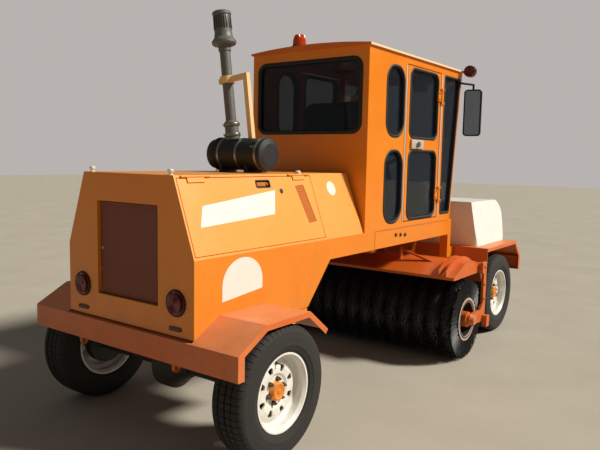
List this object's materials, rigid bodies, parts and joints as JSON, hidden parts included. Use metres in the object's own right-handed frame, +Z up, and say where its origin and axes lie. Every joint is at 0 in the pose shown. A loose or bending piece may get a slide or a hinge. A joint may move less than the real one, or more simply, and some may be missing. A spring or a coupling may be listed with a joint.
{
  "type": "road broom",
  "caption": "Self-propelled road broom: upright cab, rear engine housing, full-width cylindrical brush slung amidships, water tank over the steered front axle.",
  "frame": {"origin": "on the ground under the middle of the machine's length and width", "axes": "+X forward, towards the water tank; +Y to the machine's left; +Z up"},
  "size_m": [4.12, 1.936, 2.461],
  "materials": {
    "orange_paint": "aged gloss",
    "black_paint": "satin",
    "white_paint": "aged gloss",
    "dark_mesh": "matt",
    "cast_grey": "matt",
    "bare_steel": "satin",
    "tyre_rubber": "matt",
    "black_plastic": "matt",
    "bristle": "matt",
    "white_plastic": "gloss",
    "grey_pipe": "satin",
    "tinted_glass": "clear",
    "red_lens": "gloss",
    "amber_lens": "gloss",
    "clear_lens": "gloss",
    "vinyl": "matt",
    "head_paint": "aged gloss"
  },
  "bodies": {
    "machine": {"rear_axle": "cast_grey", "front_axle": "cast_grey", "chassis_frame": "orange_paint", "cross_members": "orange_paint", "rear_bumper": "orange_paint", "front_deck": "orange_paint", "engine_housing": "orange_paint", "engine": "cast_grey", "air_cleaner": "black_plastic", "intake_stack": "grey_pipe", "stack_bracket": "orange_paint", "cab_side_left": "orange_paint", "cab_side_right": "orange_paint", "cab_rear_wall": "orange_paint", "cab_front": "orange_paint", "cab_glass": "tinted_glass", "cab_roof": "orange_paint", "cab_floor": "black_paint", "sun_visor": "white_plastic", "seat": "vinyl", "console": "black_plastic", "tail_lamps": "red_lens", "head_lamps": "clear_lens", "roof_beacon": "amber_lens", "corner_lamps": "red_lens", "mirrors": "black_plastic", "water_tank": "white_plastic"},
    "wheel_rear_left": {"tyre_rear_left": "tyre_rubber", "rim_rear_left": "white_paint"},
    "wheel_rear_right": {"tyre_rear_right": "tyre_rubber", "rim_rear_right": "white_paint"},
    "wheel_front_left": {"tyre_front_left": "tyre_rubber", "rim_front_left": "white_paint"},
    "wheel_front_right": {"tyre_front_right": "tyre_rubber", "rim_front_right": "white_paint"},
    "knuckle_left": {"knuckle_left": "cast_grey"},
    "knuckle_right": {"knuckle_right": "cast_grey"},
    "tie_rod": {"tie_rod": "bare_steel"},
    "door_left": {"door_left": "orange_paint", "door_glass_left": "tinted_glass"},
    "door_right": {"door_right": "orange_paint", "door_glass_right": "tinted_glass"},
    "side_door_left": {"side_door_left": "orange_paint"},
    "side_door_right": {"side_door_right": "orange_paint"},
    "grille_door": {"grille_door": "dark_mesh"},
    "swing_frame": {"swing_frame": "orange_paint"},
    "swing_rod": {"swing_rod": "bare_steel"},
    "broom_head": {"broom_head": "head_paint"},
    "lift_barrel": {"lift_barrel": "black_paint"},
    "lift_rod": {"lift_rod": "bare_steel"},
    "brush_reel": {"brush_reel": "bristle"}
  },
  "joints": [
    {"name": "spin_rear_left", "type": "hinge", "parent": "machine", "child": "wheel_rear_left", "pos_m": [-1.69, 0.7075, 0.35], "axis": [0, 1, 0], "continuous": true},
    {"name": "spin_rear_right", "type": "hinge", "parent": "machine", "child": "wheel_rear_right", "pos_m": [-1.69, -0.7075, 0.35], "axis": [0, 1, 0], "continuous": true},
    {"name": "steer_left", "type": "hinge", "parent": "machine", "child": "knuckle_left", "pos_m": [1.52, 0.5595, 0.35], "axis": [0, 0, 1], "range_deg": [-30, 30]},
    {"name": "steer_right", "type": "hinge", "parent": "machine", "child": "knuckle_right", "pos_m": [1.52, -0.5595, 0.35], "axis": [0, 0, 1], "range_deg": [-30, 30]},
    {"name": "spin_front_left", "type": "hinge", "parent": "knuckle_left", "child": "wheel_front_left", "pos_m": [1.52, 0.7075, 0.35], "axis": [0, 1, 0], "continuous": true},
    {"name": "spin_front_right", "type": "hinge", "parent": "knuckle_right", "child": "wheel_front_right", "pos_m": [1.52, -0.7075, 0.35], "axis": [0, 1, 0], "continuous": true},
    {"name": "tie_rod_slide", "type": "slide", "parent": "machine", "child": "tie_rod", "axis": [0, 1, 0], "range_m": [-0.0745, 0.0745]},
    {"name": "door_left_hinge", "type": "hinge", "parent": "machine", "child": "door_left", "pos_m": [0.731, 0.515, 1], "axis": [0, 0, -1], "range_deg": [0, 80]},
    {"name": "door_right_hinge", "type": "hinge", "parent": "machine", "child": "door_right", "pos_m": [0.731, -0.515, 1], "axis": [0, 0, 1], "range_deg": [0, 80]},
    {"name": "side_door_left_hinge", "type": "hinge", "parent": "machine", "child": "side_door_left", "pos_m": [-1.458, 0.36798, 1.43597], "axis": [1, 0, 0], "range_deg": [0, 75]},
    {"name": "side_door_right_hinge", "type": "hinge", "parent": "machine", "child": "side_door_right", "pos_m": [-1.458, -0.36798, 1.43597], "axis": [-1, 0, 0], "range_deg": [0, 75]},
    {"name": "grille_door_hinge", "type": "hinge", "parent": "machine", "child": "grille_door", "pos_m": [-2.008, -0.228, 1], "axis": [0, 0, 1], "range_deg": [0, 100]},
    {"name": "swing", "type": "hinge", "parent": "machine", "child": "swing_frame", "pos_m": [0.51, 0, 0.92], "axis": [0, 0, 1], "range_deg": [-20, 20]},
    {"name": "swing_rod_slide", "type": "slide", "parent": "machine", "child": "swing_rod", "axis": [1, 0, 0], "range_m": [-0.086, 0.086]},
    {"name": "lift", "type": "hinge", "parent": "swing_frame", "child": "broom_head", "pos_m": [0.765, 0, 0.7], "axis": [0, 1, 0], "range_deg": [0, 15]},
    {"name": "lift_barrel_pivot", "type": "hinge", "parent": "swing_frame", "child": "lift_barrel", "pos_m": [0.39, 0, 0.88], "axis": [0, 1, 0], "range_deg": [0, 0.83]},
    {"name": "lift_rod_slide", "type": "slide", "parent": "lift_barrel", "child": "lift_rod", "axis": [1, 0, 0], "range_m": [0, 0.0468]},
    {"name": "brush_spin", "type": "hinge", "parent": "broom_head", "child": "brush_reel", "pos_m": [0.51, 0, 0.316], "axis": [0, 1, 0], "continuous": true}
  ],
  "couplings": [
    {"joint": "steer_right", "follows": "steer_left", "ratio": 1},
    {"joint": "tie_rod_slide", "follows": "steer_left", "m_per_rad": -0.1337},
    {"joint": "swing_rod_slide", "follows": "swing", "m_per_rad": -0.245},
    {"joint": "lift_barrel_pivot", "follows": "lift", "ratio": 0.055},
    {"joint": "lift_rod_slide", "follows": "lift", "m_per_rad": 0.178}
  ]
}
